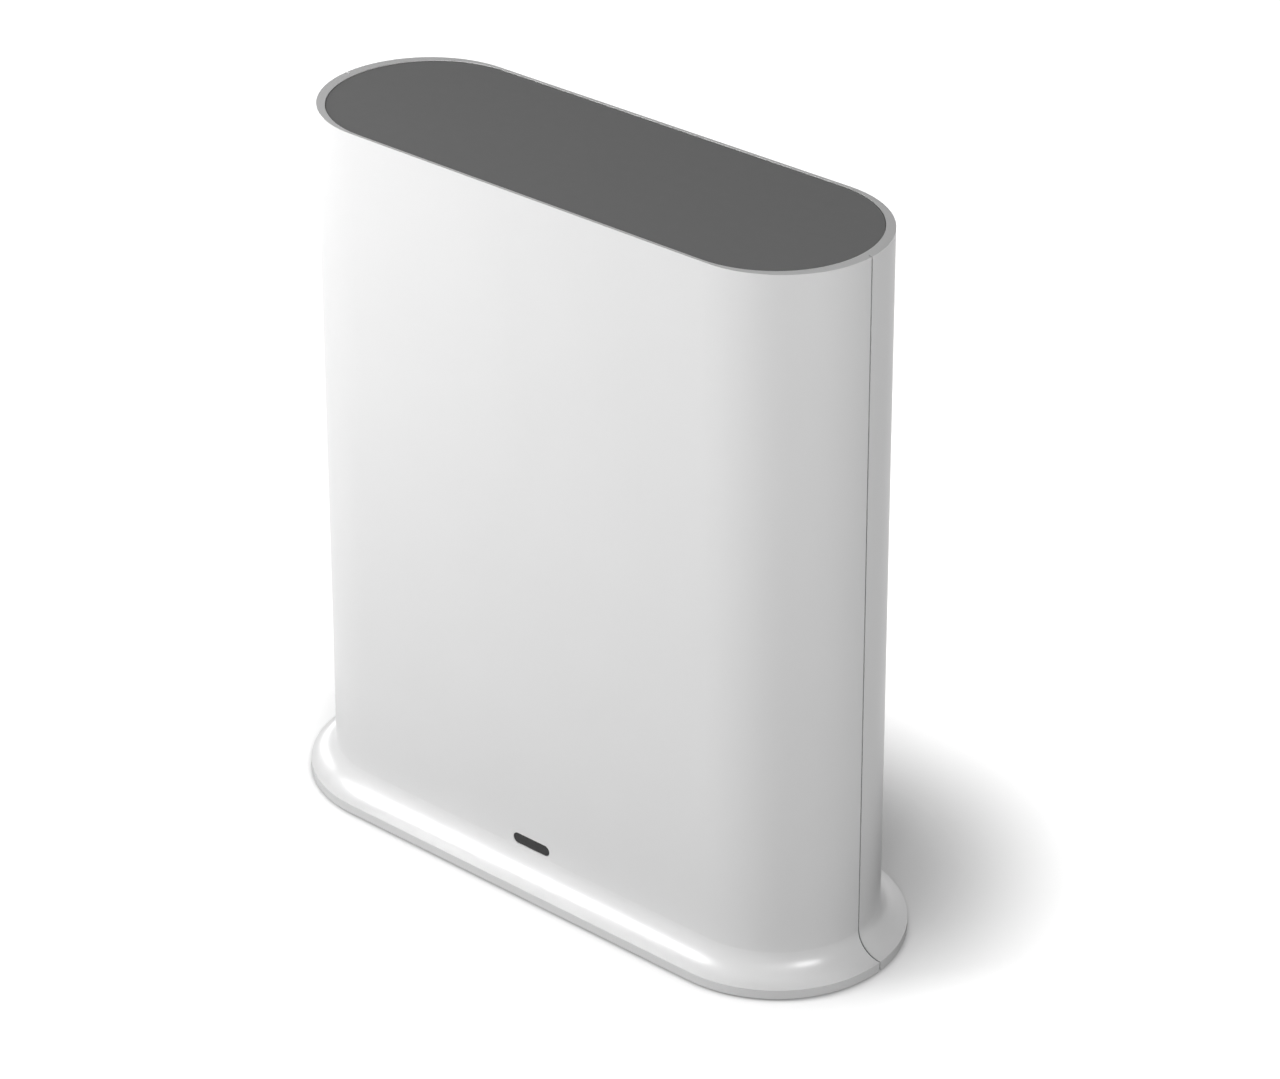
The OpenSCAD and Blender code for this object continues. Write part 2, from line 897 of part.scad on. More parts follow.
module ethernet_contacts() {
  ceiling = ethernet_cavity_y + ethernet_cavity[1] / 2;
  back = port_depth - ethernet_lip - ethernet_cavity_depth + contact_back;
  front = port_depth - ethernet_lip - contact_front;
  color(gold)
    on_rear(ethernet_x, port_z)
      for (i = [0 : contact_count - 1])
        translate([(i - (contact_count - 1) / 2) * contact_pitch - contact_width / 2, 0, 0])
          rotate([90, 0, 90])
            linear_extrude(contact_width)
              polygon([
                [ceiling, back],
                [ceiling, front],
                [ceiling - contact_t, front],
                [ceiling - contact_drop, back + contact_bend],
                [ceiling - contact_drop + contact_t, back + contact_fold],
                [ceiling - contact_t, front - contact_bend],
                [ceiling - contact_t, back]
              ]);
}

module ethernet_transformer() {
  color(chip_black)
    on_rear(ethernet_x, transformer_z)
      block(transformer_size);
}

module usb_shell() {
  color(sheet_metal)
    on_rear(usb_x, port_z)
      linear_extrude(port_depth)
        difference() {
          round_rect(usb_width, usb_height, usb_corner);
          grown_rect(usb_width, usb_height, usb_corner, -usb_sheet);
        }
}

module usb_tongue() {
  inset = 2 * (usb_sheet + seat_gap);
  color(dark_plastic)
    on_rear(usb_x, port_z) {
      linear_extrude(usb_block_depth)
        square([usb_width - inset, usb_height - inset - usb_block_room], center = true);
      linear_extrude(port_depth - usb_tongue_back)
        translate([0, usb_tongue_y])
          square([usb_width - inset - 2 * usb_tongue_inset, usb_tongue_t], center = true);
    }
}

module usb_contacts() {
  color(gold)
    on_rear(usb_x, port_z)
      for (i = [0 : usb_contact_count - 1])
        translate([
          (i - (usb_contact_count - 1) / 2) * usb_contact_pitch,
          usb_tongue_y - usb_tongue_t / 2 - usb_contact[1] / 2,
          usb_block_depth
        ])
          block(usb_contact);
}

module power_jack_body() {
  cavity_floor = port_depth - power_cavity_depth;
  color(dark_plastic)
    on_rear(power_x, port_z)
      difference() {
        linear_extrude(port_depth)
          round_rect(power_width, power_height, power_corner);
        translate([0, 0, cavity_floor])
          cylinder(d = power_bore_d, h = beyond);
        translate([0, 0, cavity_floor - power_pin_root_length])
          cylinder(r = power_pin_root_r + seat_gap, h = beyond);
        translate([-power_slot[0] / 2, -power_bore_d / 2 - power_slot[1], cavity_floor])
          cube([power_slot[0], power_slot[1] + power_bore_d / 4, power_cavity_depth - power_slot_lip]);
      }
}

module power_jack_pin() {
  cavity_floor = port_depth - power_cavity_depth;
  color(sheet_metal)
    on_rear(power_x, port_z)
      translate([0, 0, cavity_floor - power_pin_root_length]) {
        cylinder(r = power_pin_root_r, h = power_pin_root_length);
        cylinder(d = power_pin_d, h = power_pin_root_length + power_pin_length);
        translate([0, 0, power_pin_root_length + power_pin_length])
          cylinder(d1 = power_pin_d, d2 = power_pin_d - 2 * power_pin_tip, h = power_pin_tip);
      }
}

module power_jack_spring() {
  cavity_floor = port_depth - power_cavity_depth;
  outer = power_bore_d / 2 + power_slot[1];
  bump = power_slot[1] - power_spring[1];
  length = power_cavity_depth - power_spring_room;
  color(gold)
    on_rear(power_x, port_z)
      translate([-power_spring[0] / 2, 0, cavity_floor])
        rotate([90, 0, 90])
          linear_extrude(power_spring[0])
            polygon([
              [-outer, 0],
              [-outer, length / 4],
              [-outer + bump, length * 2 / 3],
              [-outer, length],
              [-outer + power_spring[1], length],
              [-outer + bump + power_spring[1], length * 2 / 3],
              [-outer + power_spring[1], length / 4],
              [-outer + power_spring[1], 0]
            ]);
}

module sync_button() {
  face = button_face_y - board_rear_y;
  flange_top = button_flange_y - board_rear_y;
  color(white_plastic)
    on_rear(0, button_z)
      difference() {
        union() {
          translate([0, 0, switch_plunger_top])
            cylinder(r = button_stem_r, h = flange_top - switch_plunger_top);
          translate([0, 0, flange_top - button_flange_t])
            cylinder(r = button_flange_r, h = button_flange_t);
          translate([0, 0, flange_top - button_flange_t])
            cylinder(d = button_d, h = face - flange_top + button_flange_t);
        }
        translate([0, 0, face + button_dish_r - button_dish])
          sphere(r = button_dish_r);
      }
}

module sync_switch_body() {
  color(chip_black)
    on_rear(0, button_z)
      difference() {
        block([switch_size, switch_size, switch_body_t]);
        translate([0, 0, switch_well])
          cylinder(r = switch_plunger_r + slip_gap, h = switch_body_t);
      }
}

module sync_switch_plunger() {
  low = switch_well + button_travel + slip_gap;
  color(pale_plastic)
    on_rear(0, button_z)
      translate([0, 0, low])
        cylinder(r = switch_plunger_r, h = switch_plunger_top - low);
}

module reset_switch_body() {
  color(chip_black)
    on_rear(reset_x, port_z)
      difference() {
        block([reset_body, reset_body, switch_body_t]);
        translate([0, 0, switch_well])
          cylinder(r = reset_plunger_r + slip_gap, h = switch_body_t);
      }
}

module reset_switch_plunger() {
  low = switch_well + reset_travel + slip_gap;
  color(pale_plastic)
    on_rear(reset_x, port_z)
      translate([0, 0, low])
        cylinder(r = reset_plunger_r, h = reset_plunger_top - low);
}

module processor_chip() {
  color(chip_black)
    on_front(0, sink_z)
      block([chip_size, chip_size, chip_t]);
}

module thermal_pad() {
  color(pale_pad)
    on_front(0, sink_z)
      translate([0, 0, chip_t])
        block([thermal_pad_size, thermal_pad_size, thermal_pad_t]);
}

module heat_sink() {
  pitch = (sink_size - fin_t) / (fin_count - 1);
  color(sink_grey)
    on_front(0, sink_z)
      translate([0, 0, sink_seat])
        difference() {
          union() {
            block([sink_size, sink_size, sink_base_t]);
            for (i = [0 : fin_count - 1])
              translate([-sink_size / 2 + i * pitch, -sink_size / 2, 0])
                cube([fin_t, sink_size, sink_base_t + fin_height]);
          }
          sink_pin_places() {
            translate([0, 0, -cut_extra])
              cylinder(r = sink_pin_r + slip_gap, h = beyond);
            translate([0, 0, sink_base_t])
              cylinder(r = sink_pin_head_r + sink_pin_head_room, h = beyond);
          }
        }
}

module heat_sink_pins() {
  grip = board_t + sink_seat + sink_base_t;
  color(dark_plastic)
    on_front(0, sink_z)
      sink_pin_places()
        translate([0, 0, -board_t - sink_pin_barb_t]) {
          cylinder(r1 = sink_pin_r, r2 = sink_pin_r + sink_pin_barb, h = sink_pin_barb_t);
          cylinder(r = sink_pin_r, h = grip + sink_pin_barb_t);
          translate([0, 0, grip + sink_pin_barb_t])
            cylinder(r = sink_pin_head_r, h = sink_pin_head_t);
        }
}

module memory_chips() {
  x = -sink_size / 2 - side_gap - memory_size[0] / 2;
  color(chip_black)
    for (side = [-1, 1])
      on_front(x, sink_z + side * (memory_size[1] + memory_gap) / 2)
        block(memory_size);
}

module flash_chip() {
  color(chip_black)
    on_front(sink_size / 2 + side_gap + flash_size[0] / 2, sink_z)
      block(flash_size);
}

module radio_chips() {
  color(chip_black)
    for (side = [-1, 1])
      on_front(side * shield_x, shield_z)
        block(radio_chip_size);
}

module radio_shields() {
  inner = [shield_size[0] - 2 * shield_wall, shield_size[1] - 2 * shield_wall, shield_size[2] - shield_wall];
  color(sheet_metal)
    for (side = [-1, 1])
      on_front(side * shield_x, shield_z)
        difference() {
          block(shield_size);
          translate([0, 0, -cut_extra])
            block([inner[0], inner[1], inner[2] + cut_extra]);
        }
}

module power_inductors() {
  color(ferrite_grey)
    for (i = [0, 1])
      on_front(power_x + i * (inductor_size + side_gap), inductor_z)
        linear_extrude(inductor_t)
          round_rect(inductor_size, inductor_size, inductor_corner);
}

module bulk_capacitors() {
  color(can_blue)
    for (i = [0 : capacitor_count - 1])
      on_rear(power_x, capacitor_z + i * (capacitor_d + capacitor_gap))
        rotate_extrude()
          difference() {
            square([capacitor_d / 2, capacitor_h]);
            translate([capacitor_d / 2 + capacitor_groove_out, capacitor_h - capacitor_groove_drop])
              circle(capacitor_groove_r);
          }
}

module board_passives() {
  color(ceramic_tan)
    for (i = [0 : passive_count - 1], row = [0, 1])
      on_front(passive_start + i * passive_pitch, inductor_z + row * passive_pitch)
        block(passive_size);
}

module end_antenna() {
  translate([antenna_x - antenna_t / 2, -antenna_width / 2, antenna_z])
    cube([antenna_t, antenna_width, antenna_length]);
}

module antenna_right() {
  color(copper)
    end_antenna();
}

module antenna_left() {
  color(copper)
    mirror([1, 0, 0])
      end_antenna();
}

module antenna_top() {
  color(copper)
    translate([0, 0, antenna_top_z - antenna_t / 2])
      block([antenna_length, antenna_width, antenna_t]);
}

// Coax plug on the board, with its barrel pointing along local X
module coax_plug() {
  cylinder(r = plug_r, h = plug_t);
  translate([0, 0, lead_height])
    rotate([0, 90, 0])
      cylinder(r = barrel_r, h = plug_r + barrel_length);
}

module antenna_plugs() {
  color(gold) {
    for (side = [0, 1])
      mirror([side, 0, 0])
        on_front(end_plug_x, end_plug_z)
          coax_plug();
    on_front(0, top_plug_z)
      rotate([0, 0, 90])
        coax_plug();
  }
}

function curve_point(a, b, c, d, t) =
  pow(1 - t, 3) * a + 3 * pow(1 - t, 2) * t * b + 3 * (1 - t) * t * t * c + t * t * t * d;
function curve_slope(a, b, c, d, t) =
  3 * pow(1 - t, 2) * (b - a) + 6 * (1 - t) * t * (c - b) + 3 * t * t * (d - c);

// Round lead in the plane of the board, along a curve given by four points of x and z
module lead(a, b, c, d) {
  points = [
    for (i = [0 : lead_rings - 1])
      let (
        t = i / (lead_rings - 1),
        p = curve_point(a, b, c, d, t),
        v = curve_slope(a, b, c, d, t),
        n = [-v[1], v[0]] / norm(v)
      )
        for (j = [0 : lead_sides - 1])
          let (
            angle = 360 * j / lead_sides,
            across = p + n * lead_d / 2 * cos(angle)
          )
            [across[0], lead_y + lead_d / 2 * sin(angle), across[1]]
  ];
  sides = [
    for (i = [0 : lead_rings - 2], j = [0 : lead_sides - 1])
      let (
        k = (j + 1) % lead_sides,
        low = i * lead_sides,
        high = low + lead_sides
      )
        each [[low + j, high + j, high + k], [low + j, high + k, low + k]]
  ];
  last = (lead_rings - 1) * lead_sides;
  ends = [
    for (j = [1 : lead_sides - 2])
      each [[0, j, j + 1], [last, last + j + 1, last + j]]
  ];
  polyhedron(points, concat(sides, ends));
}

module antenna_leads() {
  start_x = end_plug_x + plug_r + barrel_length + seat_gap;
  side_x = antenna_x - antenna_t / 2 - lead_d / 2 - seat_gap;
  side_z = antenna_z + lead_tie;
  start_z = top_plug_z + plug_r + barrel_length + seat_gap;
  under_z = antenna_top_z - antenna_t / 2 - lead_d / 2 - seat_gap;
  under_x = antenna_post_x / 2;
  color(chip_black) {
    for (side = [0, 1])
      mirror([side, 0, 0])
        lead([start_x, end_plug_z], [side_x, end_plug_z], [side_x, end_plug_z + lead_bend], [side_x, side_z]);
    lead([0, start_z], [0, under_z - lead_bend], [0, under_z], [under_x, under_z]);
  }
}

front_shell();
rear_shell();
top_panel();
base_plate();
foot_pads();
base_screws();
indicator_lens();
light_pipe();
status_led();
main_board();
board_screws();
port_bezel();
ethernet_shield();
ethernet_insert();
ethernet_contacts();
ethernet_transformer();
usb_shell();
usb_tongue();
usb_contacts();
power_jack_body();
power_jack_pin();
power_jack_spring();
sync_button();
sync_switch_body();
sync_switch_plunger();
reset_switch_body();
reset_switch_plunger();
processor_chip();
thermal_pad();
heat_sink();
heat_sink_pins();
memory_chips();
flash_chip();
radio_chips();
radio_shields();
power_inductors();
bulk_capacitors();
board_passives();
antenna_left();
antenna_right();
antenna_top();
antenna_plugs();
antenna_leads();
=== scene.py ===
"""Finishes, studio and camera for an upright hub that serves wireless cameras."""

import json
import math

import bpy
from mathutils import Matrix, Vector


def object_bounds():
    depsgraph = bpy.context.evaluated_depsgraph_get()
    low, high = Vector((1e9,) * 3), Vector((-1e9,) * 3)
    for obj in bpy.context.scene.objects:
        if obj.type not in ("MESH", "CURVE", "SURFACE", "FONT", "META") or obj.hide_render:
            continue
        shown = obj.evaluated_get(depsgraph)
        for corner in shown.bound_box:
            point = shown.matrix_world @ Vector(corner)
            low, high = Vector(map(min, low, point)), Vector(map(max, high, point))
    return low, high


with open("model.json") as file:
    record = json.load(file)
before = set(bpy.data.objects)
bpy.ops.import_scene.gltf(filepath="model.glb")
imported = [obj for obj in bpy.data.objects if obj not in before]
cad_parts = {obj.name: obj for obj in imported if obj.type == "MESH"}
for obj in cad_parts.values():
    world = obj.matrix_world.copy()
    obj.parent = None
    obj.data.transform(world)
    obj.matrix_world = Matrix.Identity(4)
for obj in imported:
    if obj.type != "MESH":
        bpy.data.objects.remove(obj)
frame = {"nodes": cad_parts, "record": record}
cad_low, cad_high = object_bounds()
nodes = frame["nodes"]

MM = 0.001
QUARTER_TURN = 90
WHITE = (1, 1, 1, 1)

# Camera, as in the photograph: front and right end seen from above. Angles are in degrees, lens and
# sensor in millimetres
CAMERA_PLACE = Vector((0.3794, -0.4385, 0.3907))
CAMERA_YAW = 40.182
CAMERA_PITCH = 29.667
CAMERA_ROLL = 0.045
CAMERA_LENS = 111.8
SENSOR_WIDTH = 36.0

# Noise: the span that most of its values lie in, and its octaves in patches of colour, wear and grain
NOISE_LOW = 0.3
NOISE_HIGH = 0.7
PATCH_DETAIL = 2.0
WEAR_DETAIL = 4.0
GRAIN_DETAIL = 2.0

# Shade painted into the colour in narrow gaps: openness that counts as closed and as open
CREVICE_SAMPLES = 8
CREVICE_CLOSED = 0.12
CREVICE_OPEN = 0.5

# Floor: its colour for rays that carry light on, and for the camera before it is lifted to white
FLOOR_RADIUS = 6.0
FLOOR_SIDES = 96
FLOOR_BOUNCE = 0.3
FLOOR_SEEN = 0.75

# Shadow painted into the floor's glow round a line behind the middle of the hub: how far back the line
# lies, half its length, and the distances from it at which the floor starts to lighten and is white.
# A thin painted contact shadow follows the foot
SHADOW_SHIFT = 14 * MM
SHADOW_SPINE = 28 * MM
SHADOW_CORE = 14 * MM
SHADOW_REACH = 70 * MM
CONTACT_REACH = 1.2 * MM

# Even light from all round
FILL_STRENGTH = 0.1

# Softboxes, all facing the middle of the hub: name, place, width, height, watts
KEY_PLACE = (-0.12, -0.16, 0.18)
SIDE_PLACE = (0.32, -0.10, 0.15)
# These light every surface, and don't show in gloss
SOFTBOXES = [
    ("key_box", KEY_PLACE, 0.08, 0.08, 0.178),
    ("low_key_box", (-0.25, -0.25, 0.12), 0.15, 0.15, 0.395),
    ("front_box", (0.254, -0.234, 0.221), 0.17, 0.17, 0.46),
    ("side_box", SIDE_PLACE, 0.10, 0.10, 0.10),
    ("back_box", (-0.50, 0.80, 0.07), 0.50, 0.11, 6.5),
]
# These only show in gloss, and only in that of the nodes named below them
SHINE_BOXES = [
    ("key_shine", KEY_PLACE, 0.08, 0.08, 0.178),
    ("streak_shine", (-0.20, -0.14, 0.22), 0.16, 0.16, 0.74),
    ("side_shine", SIDE_PLACE, 0.10, 0.10, 0.33),
    ("left_shine", (-0.30, 0.06, 0.065), 0.20, 0.08, 0.20),
]
SHINE_NODES = ["front_shell", "rear_shell", "indicator_lens"]


def grey(value):
    """Neutral colour of that linear value."""
    return (value, value, value, 1)


class Finish:
    """A material with one principled shader, and short calls that add its detail."""

    def __init__(self, name, colour, roughness, metallic=0.0, specular=0.5):
        self.material = bpy.data.materials.new(name)
        self.material.use_nodes = True
        self.tree = self.material.node_tree
        self.shader = self.tree.nodes["Principled BSDF"]
        self.colour = colour
        self.roughness = roughness
        self.put("Base Color", colour)
        self.put("Roughness", roughness)
        self.put("Metallic", metallic)
        self.put("Specular IOR Level", specular)
        self.place = self.tree.nodes.new("ShaderNodeTexCoord").outputs["Object"]

    def put(self, socket, value):
        """Value that is the same all over the surface."""
        self.shader.inputs[socket].default_value = value

    def stretched(self, stretch):
        """Object coordinates scaled along each axis, so that a pattern draws out."""
        mapping = self.tree.nodes.new("ShaderNodeMapping")
        mapping.inputs["Scale"].default_value = stretch
        self.tree.links.new(self.place, mapping.inputs["Vector"])
        return mapping.outputs["Vector"]

    def noise(self, size, detail, stretch):
        """Noise whose features are about as wide as size, in metres."""
        texture = self.tree.nodes.new("ShaderNodeTexNoise")
        texture.inputs["Scale"].default_value = 1 / size
        texture.inputs["Detail"].default_value = detail
        vector = self.stretched(stretch) if stretch else self.place
        self.tree.links.new(vector, texture.inputs["Vector"])
        return texture.outputs["Fac"]

    def ranged(self, source, low, high):
        """Noise from its usual span to a range from low to high."""
        spread = self.tree.nodes.new("ShaderNodeMapRange")
        spread.inputs["From Min"].default_value = NOISE_LOW
        spread.inputs["From Max"].default_value = NOISE_HIGH
        spread.inputs["To Min"].default_value = low
        spread.inputs["To Max"].default_value = high
        self.tree.links.new(source, spread.inputs["Value"])
        return spread.outputs["Result"]

    def mottled(self, size, share, stretch=None):
        """Colour that drifts by a share of itself over patches of that size."""
        mix = self.tree.nodes.new("ShaderNodeMix")
        mix.data_type = "RGBA"
        mix.inputs["A"].default_value = [c * (1 - share) for c in self.colour[:3]] + [1]
        mix.inputs["B"].default_value = [min(1, c * (1 + share)) for c in self.colour[:3]] + [1]
        factor = self.ranged(self.noise(size, PATCH_DETAIL, stretch), 0.0, 1.0)
        self.tree.links.new(factor, mix.inputs["Factor"])
        self.tree.links.new(mix.outputs["Result"], self.shader.inputs["Base Color"])

    def painted_gap_shade(self, reach, darkest):
        """Mottled colour with shade painted into it in gaps narrower than reach, down to a share of
        itself.
        """
        # Painted shade: the colour is multiplied by how enclosed each point is
        nearby = self.tree.nodes.new("ShaderNodeAmbientOcclusion")
        nearby.samples = CREVICE_SAMPLES
        nearby.only_local = False
        nearby.inputs["Distance"].default_value = reach
        shade = self.tree.nodes.new("ShaderNodeMapRange")
        shade.inputs["From Min"].default_value = CREVICE_CLOSED
        shade.inputs["From Max"].default_value = CREVICE_OPEN
        shade.inputs["To Min"].default_value = darkest
        shade.inputs["To Max"].default_value = 1.0
        self.tree.links.new(nearby.outputs["AO"], shade.inputs["Value"])
        product = self.tree.nodes.new("ShaderNodeMix")
        product.data_type = "RGBA"
        product.blend_type = "MULTIPLY"
        product.inputs["Factor"].default_value = 1.0
        base = self.shader.inputs["Base Color"]
        self.tree.links.new(base.links[0].from_socket, product.inputs["A"])
        self.tree.links.new(shade.outputs["Result"], product.inputs["B"])
        self.tree.links.new(product.outputs["Result"], base)

    def worn(self, size, spread, stretch=None):
        """Roughness that drifts by spread either way over patches of that size."""
        source = self.noise(size, WEAR_DETAIL, stretch)
        result = self.ranged(source, self.roughness - spread, self.roughness + spread)
        self.tree.links.new(result, self.shader.inputs["Roughness"])

    def grained(self, size, depth, strength, stretch=None):
        """Fine relief of that size and depth."""
        bump = self.tree.nodes.new("ShaderNodeBump")
        bump.inputs["Strength"].default_value = strength
        bump.inputs["Distance"].default_value = depth
        height = self.noise(size, GRAIN_DETAIL, stretch)
        self.tree.links.new(height, bump.inputs["Height"])
        self.tree.links.new(bump.outputs["Normal"], self.shader.inputs["Normal"])


def white_shell():
    """White moulding with a fine satin texture, and shade painted into its narrow gaps."""
    finish = Finish("white_shell", grey(0.86), roughness=0.3, specular=0.9)
    finish.mottled(size=22 * MM, share=0.006)
    # Painted shade: the white darkens in the seam and other gaps narrower than 1.2 mm, down to a fifth
    # of itself
    finish.painted_gap_shade(reach=1.2 * MM, darkest=0.2)
    finish.worn(size=9 * MM, spread=0.012)
    finish.grained(size=0.14 * MM, depth=0.004 * MM, strength=0.25)
    return finish.material


def grey_panel():
    """Satin grey panel, a little finer than the shell."""
    finish = Finish("grey_panel", grey(0.21), roughness=0.5, specular=0.3)
    finish.mottled(size=18 * MM, share=0.006)
    finish.worn(size=2 * MM, spread=0.015)
    finish.grained(size=0.12 * MM, depth=0.003 * MM, strength=0.25)
    return finish.material


def grey_bezel():
    """Frame round the sockets, spark-eroded texture."""
    finish = Finish("grey_bezel", grey(0.11), roughness=0.5, specular=0.4)
    finish.mottled(size=8 * MM, share=0.03)
    finish.worn(size=1.2 * MM, spread=0.05)
    finish.grained(size=0.18 * MM, depth=0.012 * MM, strength=0.5)
    return finish.material


def smoked_lens():
    """Polished dark window over the status light."""
    finish = Finish("smoked_lens", grey(0.02), roughness=0.16)
    finish.mottled(size=3 * MM, share=0.06)
    finish.worn(size=0.8 * MM, spread=0.03)
    return finish.material


def pad_rubber():
    """Matt rubber with a pebbled skin."""
    finish = Finish("pad_rubber", grey(0.02), roughness=0.8, specular=0.25)
    finish.mottled(size=2.5 * MM, share=0.15)
    finish.worn(size=1 * MM, spread=0.06)
    finish.grained(size=0.3 * MM, depth=0.03 * MM, strength=0.6)
    return finish.material


def screw_steel():
    """Zinc plating with turning marks."""
    finish = Finish("screw_steel", (0.62, 0.63, 0.65, 1), roughness=0.32, metallic=1.0)
    finish.mottled(size=0.8 * MM, share=0.08)
    finish.worn(size=0.3 * MM, spread=0.08)
    finish.grained(size=0.08 * MM, depth=0.004 * MM, strength=0.4)
    return finish.material


def shield_steel():
    """Tin plated sheet, drawn along the socket."""
    drawn = (1.0, 0.06, 1.0)
    finish = Finish("shield_steel", (0.66, 0.66, 0.67, 1), roughness=0.3, metallic=1.0)
    finish.mottled(size=1.5 * MM, share=0.06, stretch=drawn)
    finish.worn(size=0.25 * MM, spread=0.09, stretch=drawn)
    finish.grained(size=0.1 * MM, depth=0.003 * MM, strength=0.35, stretch=drawn)
    return finish.material


def contact_gold():
    """Gold flash on a stamped contact."""
    drawn = (1.0, 0.08, 1.0)
    finish = Finish("contact_gold", (0.83, 0.58, 0.22, 1), roughness=0.24, metallic=1.0)
    finish.mottled(size=0.6 * MM, share=0.07, stretch=drawn)
    finish.worn(size=0.15 * MM, spread=0.07, stretch=drawn)
    return finish.material


def black_plastic():
    """Black moulding of sockets and switches."""
    finish = Finish("black_plastic", grey(0.014), roughness=0.46, specular=0.4)
    finish.mottled(size=2 * MM, share=0.12)
    finish.worn(size=0.6 * MM, spread=0.06)
    finish.grained(size=0.12 * MM, depth=0.006 * MM, strength=0.4)
    return finish.material


def pale_plastic():
    """Pale moulding of plungers and the status light."""
    finish = Finish("pale_plastic", (0.78, 0.77, 0.73, 1), roughness=0.42, specular=0.4)
    finish.mottled(size=1 * MM, share=0.03)
    finish.worn(size=0.4 * MM, spread=0.05)
    return finish.material


def board_laminate():
    """Solder mask over the weave of the laminate."""
    finish = Finish("board_laminate", (0.012, 0.085, 0.04, 1), roughness=0.38)
    finish.mottled(size=1.6 * MM, share=0.18)
    finish.worn(size=0.5 * MM, spread=0.07)
    finish.grained(size=0.35 * MM, depth=0.01 * MM, strength=0.5)
    return finish.material


def chip_resin():
    """Moulded resin of the chips."""
    finish = Finish("chip_resin", grey(0.018), roughness=0.6, specular=0.35)
    finish.mottled(size=0.7 * MM, share=0.2)
    finish.worn(size=0.3 * MM, spread=0.08)
    finish.grained(size=0.1 * MM, depth=0.01 * MM, strength=0.5)
    return finish.material


def clear_plastic():
    """Clear acrylic of the light pipe."""
    finish = Finish("clear_plastic", (0.9, 0.93, 0.94, 1), roughness=0.1)
    finish.put("Transmission Weight", 0.9)
    finish.put("IOR", 1.49)
    finish.worn(size=1 * MM, spread=0.04)
    return finish.material


def thermal_silicone():
    """Soft filled silicone."""
    finish = Finish("thermal_silicone", (0.33, 0.39, 0.47, 1), roughness=0.72, specular=0.3)
    finish.mottled(size=0.8 * MM, share=0.08)
    finish.worn(size=0.5 * MM, spread=0.06)
    finish.grained(size=0.25 * MM, depth=0.02 * MM, strength=0.5)
    return finish.material


def sink_aluminium():
    """Extruded aluminium, with die lines along the fins."""
    drawn = (1.0, 1.0, 0.05)
    finish = Finish("sink_aluminium", (0.6, 0.61, 0.63, 1), roughness=0.38, metallic=1.0)
    finish.mottled(size=1.2 * MM, share=0.06, stretch=drawn)
    finish.worn(size=0.2 * MM, spread=0.08, stretch=drawn)
    finish.grained(size=0.1 * MM, depth=0.005 * MM, strength=0.4, stretch=drawn)
    return finish.material


def ferrite():
    """Pressed powder core."""
    finish = Finish("ferrite", grey(0.07), roughness=0.7, specular=0.3)
    finish.mottled(size=0.4 * MM, share=0.2)
    finish.worn(size=0.3 * MM, spread=0.08)
    finish.grained(size=0.15 * MM, depth=0.015 * MM, strength=0.6)
    return finish.material


def capacitor_can():
    """Drawn aluminium can."""
    drawn = (1.0, 1.0, 0.08)
    finish = Finish("capacitor_can", (0.55, 0.56, 0.58, 1), roughness=0.28, metallic=1.0)
    finish.mottled(size=0.8 * MM, share=0.06, stretch=drawn)
    finish.worn(size=0.2 * MM, spread=0.07, stretch=drawn)
    return finish.material


def ceramic():
    """Fired ceramic of small passives."""
    finish = Finish("ceramic", (0.42, 0.3, 0.17, 1), roughness=0.48, specular=0.4)
    finish.mottled(size=0.5 * MM, share=0.12)
    finish.worn(size=0.3 * MM, spread=0.06)
    return finish.material


def antenna_copper():
    """Etched copper under a thin lacquer."""
    finish = Finish("antenna_copper", (0.62, 0.3, 0.15, 1), roughness=0.3, metallic=1.0)
    finish.mottled(size=2 * MM, share=0.1)
    finish.worn(size=0.6 * MM, spread=0.08)
    return finish.material


def lead_jacket():
    """Extruded jacket of the antenna leads."""
    finish = Finish("lead_jacket", grey(0.02), roughness=0.5, specular=0.4)
    finish.mottled(size=1 * MM, share=0.12)
    finish.worn(size=0.5 * MM, spread=0.06)
    return finish.material


def dress_nodes():
    """Gives each CAD node the finish of its slot in the record."""
    makers = [
        white_shell, grey_panel, grey_bezel, smoked_lens, pad_rubber, screw_steel, shield_steel,
        contact_gold, black_plastic, pale_plastic, board_laminate, chip_resin, clear_plastic,
        thermal_silicone, sink_aluminium, ferrite, capacitor_can, ceramic, antenna_copper, lead_jacket,
    ]
    finish_of_slot = {maker.__name__: maker() for maker in makers}
    for part in frame["record"]["subparts"]:
        mesh = nodes[part["node"]].data
        mesh.materials.clear()
        mesh.materials.append(finish_of_slot[part["material_slot"]])


def combined(tree, operation, first, second):
    """Sum or product of two values, kept between 0 and 1."""
    node = tree.nodes.new("ShaderNodeMath")
    node.operation = operation
    node.use_clamp = True
    tree.links.new(first, node.inputs[0])
    tree.links.new(second, node.inputs[1])
    return node.outputs[0]


def seen_factor(tree):
    """1 for rays that show the background, straight or in gloss and glass, and 0 for rays that light."""
    path = tree.nodes.new("ShaderNodeLightPath").outputs
    shown = combined(tree, "ADD", path["Is Camera Ray"], path["Is Glossy Ray"])
    return combined(tree, "ADD", shown, path["Is Transmission Ray"])


def scaled(tree, factor, low, high):
    """Low where the factor is 0 and high where it is 1."""
    spread = tree.nodes.new("ShaderNodeMapRange")
    spread.inputs["To Min"].default_value = low
    spread.inputs["To Max"].default_value = high
    tree.links.new(factor, spread.inputs["Value"])
    return spread.outputs["Result"]


def make_world():
    """Even fill light, seen as white."""
    world = bpy.data.worlds.new("studio")
    world.use_nodes = True
    tree = world.node_tree
    background = tree.nodes["Background"]
    background.inputs["Color"].default_value = WHITE
    strength = scaled(tree, seen_factor(tree), FILL_STRENGTH, 1.0)
    tree.links.new(strength, background.inputs["Strength"])
    bpy.context.scene.world = world


